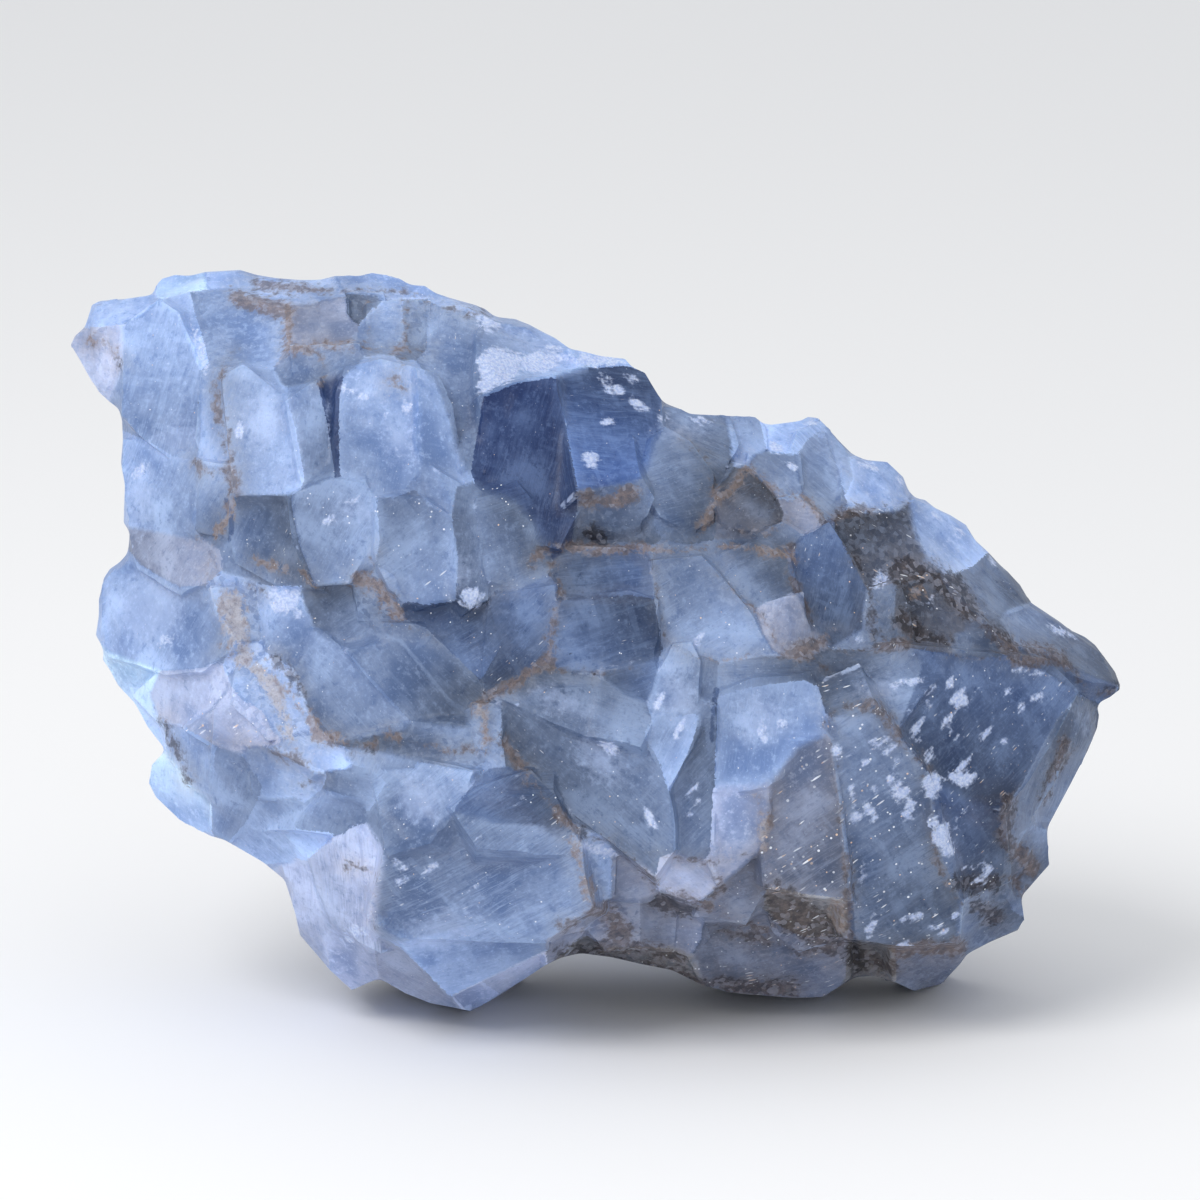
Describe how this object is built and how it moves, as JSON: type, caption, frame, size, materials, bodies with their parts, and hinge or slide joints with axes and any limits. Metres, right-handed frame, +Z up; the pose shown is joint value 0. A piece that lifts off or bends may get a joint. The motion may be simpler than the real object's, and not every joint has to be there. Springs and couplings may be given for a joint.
{
  "type": "rough blue calcite specimen",
  "caption": "Rough lump of translucent blue calcite: cleavage blocks grown together along iron-stained seams, with a small flat spot to rest on.",
  "frame": {"origin": "middle of the bounding box in plan, at the level of the flat spot it rests on", "axes": "+Z up, +X along the longest side, the pictured front faces -Y"},
  "size_m": [0.15, 0.0834, 0.104],
  "materials": {
    "blue_calcite": "translucent pale to navy blue calcite, satin cleavage faces with fine striations and glints, brown iron stain in the seams"
  },
  "bodies": {
    "root": {"blue_calcite_rough": "blue_calcite"}
  },
  "joints": []
}
